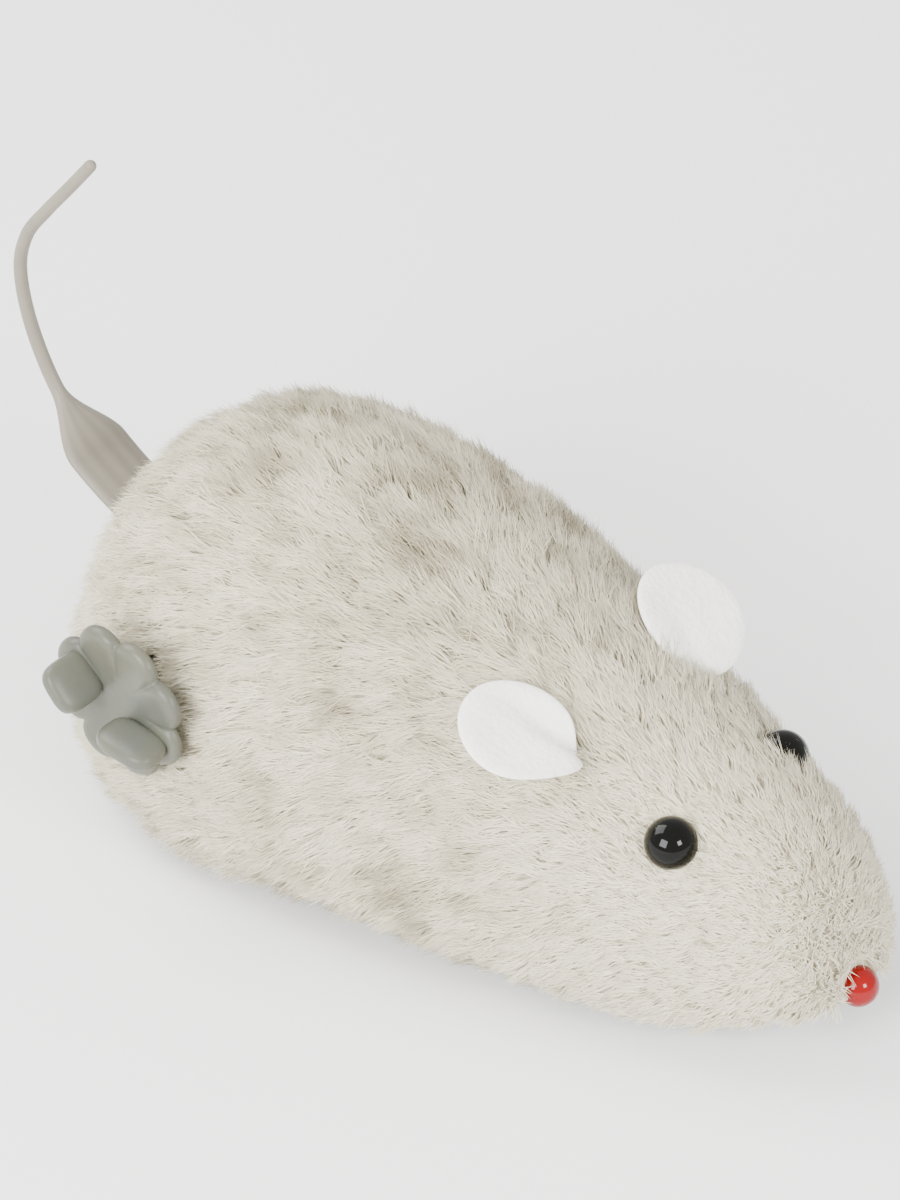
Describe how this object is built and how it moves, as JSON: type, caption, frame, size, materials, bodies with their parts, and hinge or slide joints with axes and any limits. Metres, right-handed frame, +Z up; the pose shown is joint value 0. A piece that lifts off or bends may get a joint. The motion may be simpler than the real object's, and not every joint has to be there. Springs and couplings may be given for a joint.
{
  "type": "clockwork toy mouse",
  "caption": "Plush wind-up mouse: fur-covered body with felt ears, bead eyes and nose, a standing tail and a side winding key, driven by a spring motor through its rear wheels.",
  "frame": {"origin": "centre of the base plate's flat underside, 2.2 mm above the surface the wheels stand on", "axes": "+X to the nose, +Y to the mouse's left, +Z up"},
  "size_m": [0.0807, 0.041, 0.0432],
  "materials": {
    "fur": "short combed pile",
    "ear_felt": "pressed felt",
    "eye_black": "high gloss",
    "nose_red": "high gloss",
    "tail_pvc": "soft satin",
    "key_grey": "satin, slightly translucent",
    "shell_grey": "moulded satin",
    "base_grey": "moulded satin",
    "case_black": "moulded satin",
    "gear_white": "moulded satin",
    "wheel_black": "satin",
    "tyre_rubber": "matt",
    "steel": "bright zinc",
    "spring_steel": "blued strip"
  },
  "bodies": {
    "root": {"plush_cover": "fur", "left_ear": "ear_felt", "right_ear": "ear_felt", "left_eye": "eye_black", "right_eye": "eye_black", "nose_bead": "nose_red", "shank_washers": "steel", "tail": "tail_pvc", "body_shell": "shell_grey", "base_plate": "base_grey", "body_screws": "steel", "motor_mount_screws": "steel", "motor_case_left": "case_black", "motor_case_right": "case_black", "case_screws": "steel", "mainspring": "spring_steel", "front_axle": "steel"},
    "drive": {"drive_axle": "steel", "axle_pinion": "gear_white", "left_drive_wheel": "wheel_black", "right_drive_wheel": "wheel_black", "left_tyre": "tyre_rubber", "right_tyre": "tyre_rubber"},
    "third": {"third_wheel": "gear_white", "third_shaft": "steel"},
    "second": {"second_wheel": "gear_white", "second_shaft": "steel"},
    "great": {"great_wheel": "gear_white", "click_spring": "spring_steel"},
    "winder": {"winding_shaft": "steel", "ratchet_wheel": "gear_white", "winding_key": "key_grey"},
    "front": {"front_wheel": "wheel_black"}
  },
  "joints": [
    {"name": "drive_spin", "type": "hinge", "parent": "root", "child": "drive", "pos_m": [-0.0195, 0, 0.0043], "axis": [0, 1, 0], "continuous": true},
    {"name": "third_spin", "type": "hinge", "parent": "root", "child": "third", "pos_m": [-0.01388, 0, 0.0064], "axis": [0, 1, 0], "continuous": true},
    {"name": "second_spin", "type": "hinge", "parent": "root", "child": "second", "pos_m": [-0.0105, 0, 0.01276], "axis": [0, 1, 0], "continuous": true},
    {"name": "great_spin", "type": "hinge", "parent": "root", "child": "great", "pos_m": [-0.0185, 0, 0.013], "axis": [0, 1, 0], "continuous": true},
    {"name": "wind", "type": "hinge", "parent": "great", "child": "winder", "pos_m": [-0.0185, 0, 0.013], "axis": [0, 1, 0], "range_deg": [0, 1800], "deforming": ["click_spring"]},
    {"name": "front_spin", "type": "hinge", "parent": "root", "child": "front", "pos_m": [0.019, 0, 0.0018], "axis": [0, 1, 0], "continuous": true}
  ],
  "couplings": [
    {"joint": "third_spin", "follows": "drive_spin", "ratio": -0.5},
    {"joint": "second_spin", "follows": "drive_spin", "ratio": 0.19231},
    {"joint": "great_spin", "follows": "drive_spin", "ratio": -0.064103}
  ]
}
